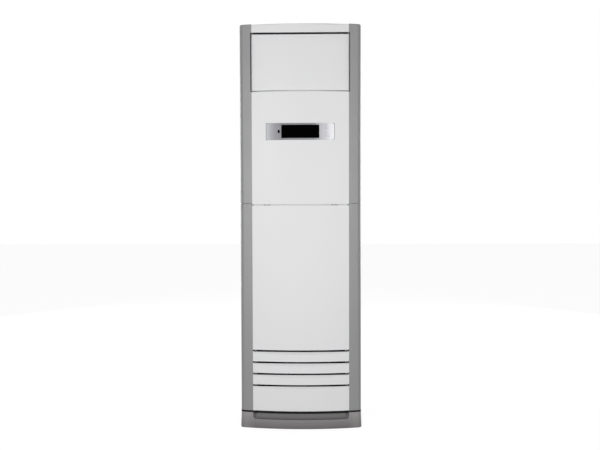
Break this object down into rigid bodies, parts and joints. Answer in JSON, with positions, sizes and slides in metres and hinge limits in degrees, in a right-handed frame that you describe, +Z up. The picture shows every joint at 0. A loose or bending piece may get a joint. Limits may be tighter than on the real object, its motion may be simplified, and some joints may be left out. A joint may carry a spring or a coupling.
{
  "type": "floor standing air conditioner",
  "caption": "Tall indoor cabinet with a bowed front, grey corner pillars, a sliding outlet door, a display strip and slotted air intake above a low plinth.",
  "frame": {"origin": "centre of the outline on the floor", "axes": "+Z up, front towards -Y, +X to the right as seen from the front"},
  "size_m": [0.546, 0.386, 1.802],
  "materials": {
    "white_shell": "satin",
    "pillar_grey": "satin silver grey",
    "plinth_grey": "satin",
    "sheet_paint": "satin",
    "galvanised": "galvanised",
    "silver_trim": "brushed silver",
    "button_silver": "satin",
    "smoked_lens": "gloss",
    "board_green": "satin",
    "outlet_plastic": "matte",
    "gear_plastic": "satin",
    "motor_case": "satin",
    "shaft_steel": "ground",
    "impeller_plastic": "matte",
    "foam": "foam",
    "fin_aluminium": "satin",
    "copper": "satin",
    "brass_union": "satin",
    "hose_grey": "matte",
    "black_plastic": "matte",
    "filter_blue": "matte"
  },
  "bodies": {
    "cabinet": {"anti_tip_bracket": "galvanised", "base_pan": "galvanised", "base_plinth": "plinth_grey", "cabinet_screws": "galvanised", "cable_gland": "black_plastic", "control_board": "board_green", "display_bezel": "silver_trim", "display_board": "board_green", "display_lens": "smoked_lens", "display_panel": "white_shell", "door_motor": "motor_case", "drain_hose": "hose_grey", "drain_pan": "foam", "electric_box": "galvanised", "electric_box_cover": "galvanised", "evaporator_bends": "copper", "evaporator_core": "fin_aluminium", "fan_motor": "motor_case", "fan_partition": "galvanised", "gas_pipe": "copper", "liquid_pipe": "copper", "louvre_motor": "motor_case", "outlet_duct": "foam", "outlet_frame": "outlet_plastic", "pillar_lower_left": "pillar_grey", "pillar_lower_right": "pillar_grey", "pillar_upper_left": "pillar_grey", "pillar_upper_right": "pillar_grey", "pipe_unions": "brass_union", "rear_panel": "sheet_paint", "scroll_front_plate": "galvanised", "scroll_housing": "galvanised", "side_panel_left": "sheet_paint", "side_panel_right": "sheet_paint", "terminal_block": "black_plastic", "top_cover": "white_shell", "vane_motor": "motor_case"},
    "door": {"outlet_door": "white_shell", "door_rack": "gear_plastic"},
    "door_pinion": {"door_pinion": "gear_plastic"},
    "louvre_blade_1": {"louvre_blade_1": "outlet_plastic"},
    "louvre_blade_2": {"louvre_blade_2": "outlet_plastic"},
    "louvre_blade_3": {"louvre_blade_3": "outlet_plastic"},
    "louvre_blade_4": {"louvre_blade_4": "outlet_plastic"},
    "louvre_link": {"louvre_link": "outlet_plastic"},
    "vane_1": {"vane_1": "outlet_plastic"},
    "vane_2": {"vane_2": "outlet_plastic"},
    "vane_3": {"vane_3": "outlet_plastic"},
    "vane_4": {"vane_4": "outlet_plastic"},
    "vane_5": {"vane_5": "outlet_plastic"},
    "vane_6": {"vane_6": "outlet_plastic"},
    "vane_link": {"vane_link": "outlet_plastic"},
    "fan_rotor": {"fan_impeller": "impeller_plastic", "fan_shaft": "shaft_steel"},
    "intake_panel": {"intake_panel": "white_shell"},
    "air_filter": {"air_filter": "filter_blue"},
    "button_power": {"button_power": "button_silver"},
    "button_mode": {"button_mode": "button_silver"},
    "button_fan_speed": {"button_fan_speed": "button_silver"},
    "button_swing": {"button_swing": "button_silver"}
  },
  "joints": [
    {"name": "door_slide", "type": "slide", "parent": "cabinet", "child": "door", "axis": [0, 0, -1], "range_m": [0, 0.245]},
    {"name": "door_pinion_spin", "type": "hinge", "parent": "cabinet", "child": "door_pinion", "pos_m": [0.195, -0.13464, 1.49], "axis": [1, 0, 0], "range_deg": [0, 1170]},
    {"name": "louvre_swing_1", "type": "hinge", "parent": "cabinet", "child": "louvre_blade_1", "pos_m": [0, -0.115, 1.54375], "axis": [1, 0, 0], "range_deg": [-35, 35]},
    {"name": "louvre_swing_2", "type": "hinge", "parent": "cabinet", "child": "louvre_blade_2", "pos_m": [0, -0.115, 1.60125], "axis": [1, 0, 0], "range_deg": [-35, 35]},
    {"name": "louvre_swing_3", "type": "hinge", "parent": "cabinet", "child": "louvre_blade_3", "pos_m": [0, -0.115, 1.65875], "axis": [1, 0, 0], "range_deg": [-35, 35]},
    {"name": "louvre_swing_4", "type": "hinge", "parent": "cabinet", "child": "louvre_blade_4", "pos_m": [0, -0.115, 1.71625], "axis": [1, 0, 0], "range_deg": [-35, 35]},
    {"name": "louvre_link_pivot", "type": "hinge", "parent": "louvre_blade_2", "child": "louvre_link", "pos_m": [0.194, -0.103, 1.60125], "axis": [1, 0, 0], "range_deg": [-35, 35]},
    {"name": "vane_swing_1", "type": "hinge", "parent": "cabinet", "child": "vane_1", "pos_m": [-0.165, -0.062, 1.63], "axis": [0, 0, 1], "range_deg": [-35, 35]},
    {"name": "vane_swing_2", "type": "hinge", "parent": "cabinet", "child": "vane_2", "pos_m": [-0.099, -0.062, 1.63], "axis": [0, 0, 1], "range_deg": [-35, 35]},
    {"name": "vane_swing_3", "type": "hinge", "parent": "cabinet", "child": "vane_3", "pos_m": [-0.033, -0.062, 1.63], "axis": [0, 0, 1], "range_deg": [-35, 35]},
    {"name": "vane_swing_4", "type": "hinge", "parent": "cabinet", "child": "vane_4", "pos_m": [0.033, -0.062, 1.63], "axis": [0, 0, 1], "range_deg": [-35, 35]},
    {"name": "vane_swing_5", "type": "hinge", "parent": "cabinet", "child": "vane_5", "pos_m": [0.099, -0.062, 1.63], "axis": [0, 0, 1], "range_deg": [-35, 35]},
    {"name": "vane_swing_6", "type": "hinge", "parent": "cabinet", "child": "vane_6", "pos_m": [0.165, -0.062, 1.63], "axis": [0, 0, 1], "range_deg": [-35, 35]},
    {"name": "vane_link_pivot", "type": "hinge", "parent": "vane_3", "child": "vane_link", "pos_m": [-0.033, -0.05, 1.521], "axis": [0, 0, 1], "range_deg": [-35, 35]},
    {"name": "fan_spin", "type": "hinge", "parent": "cabinet", "child": "fan_rotor", "pos_m": [0, 0.05, 0.42], "axis": [0, 1, 0], "continuous": true},
    {"name": "intake_panel_hinge", "type": "hinge", "parent": "cabinet", "child": "intake_panel", "pos_m": [0, -0.172, 0.995], "axis": [-1, 0, 0], "range_deg": [0, 10]},
    {"name": "filter_slide", "type": "slide", "parent": "cabinet", "child": "air_filter", "axis": [0, 0, 1], "range_m": [0, 0.25]},
    {"name": "button_power_press", "type": "slide", "parent": "cabinet", "child": "button_power", "axis": [0, 1, 0], "range_m": [0, 0.0006], "stiffness_N_per_m": 2000, "springref_m": -0.0003},
    {"name": "button_mode_press", "type": "slide", "parent": "cabinet", "child": "button_mode", "axis": [0, 1, 0], "range_m": [0, 0.0006], "stiffness_N_per_m": 2000, "springref_m": -0.0003},
    {"name": "button_fan_speed_press", "type": "slide", "parent": "cabinet", "child": "button_fan_speed", "axis": [0, 1, 0], "range_m": [0, 0.0006], "stiffness_N_per_m": 2000, "springref_m": -0.0003},
    {"name": "button_swing_press", "type": "slide", "parent": "cabinet", "child": "button_swing", "axis": [0, 1, 0], "range_m": [0, 0.0006], "stiffness_N_per_m": 2000, "springref_m": -0.0003}
  ],
  "couplings": [
    {"joint": "door_pinion_spin", "follows": "door_slide", "rad_per_m": 83.333},
    {"joint": "louvre_swing_1", "follows": "louvre_swing_2", "ratio": 1},
    {"joint": "louvre_swing_3", "follows": "louvre_swing_2", "ratio": 1},
    {"joint": "louvre_swing_4", "follows": "louvre_swing_2", "ratio": 1},
    {"joint": "louvre_link_pivot", "follows": "louvre_swing_2", "ratio": -1},
    {"joint": "vane_swing_1", "follows": "vane_swing_3", "ratio": 1},
    {"joint": "vane_swing_2", "follows": "vane_swing_3", "ratio": 1},
    {"joint": "vane_swing_4", "follows": "vane_swing_3", "ratio": 1},
    {"joint": "vane_swing_5", "follows": "vane_swing_3", "ratio": 1},
    {"joint": "vane_swing_6", "follows": "vane_swing_3", "ratio": 1},
    {"joint": "vane_link_pivot", "follows": "vane_swing_3", "ratio": -1}
  ]
}
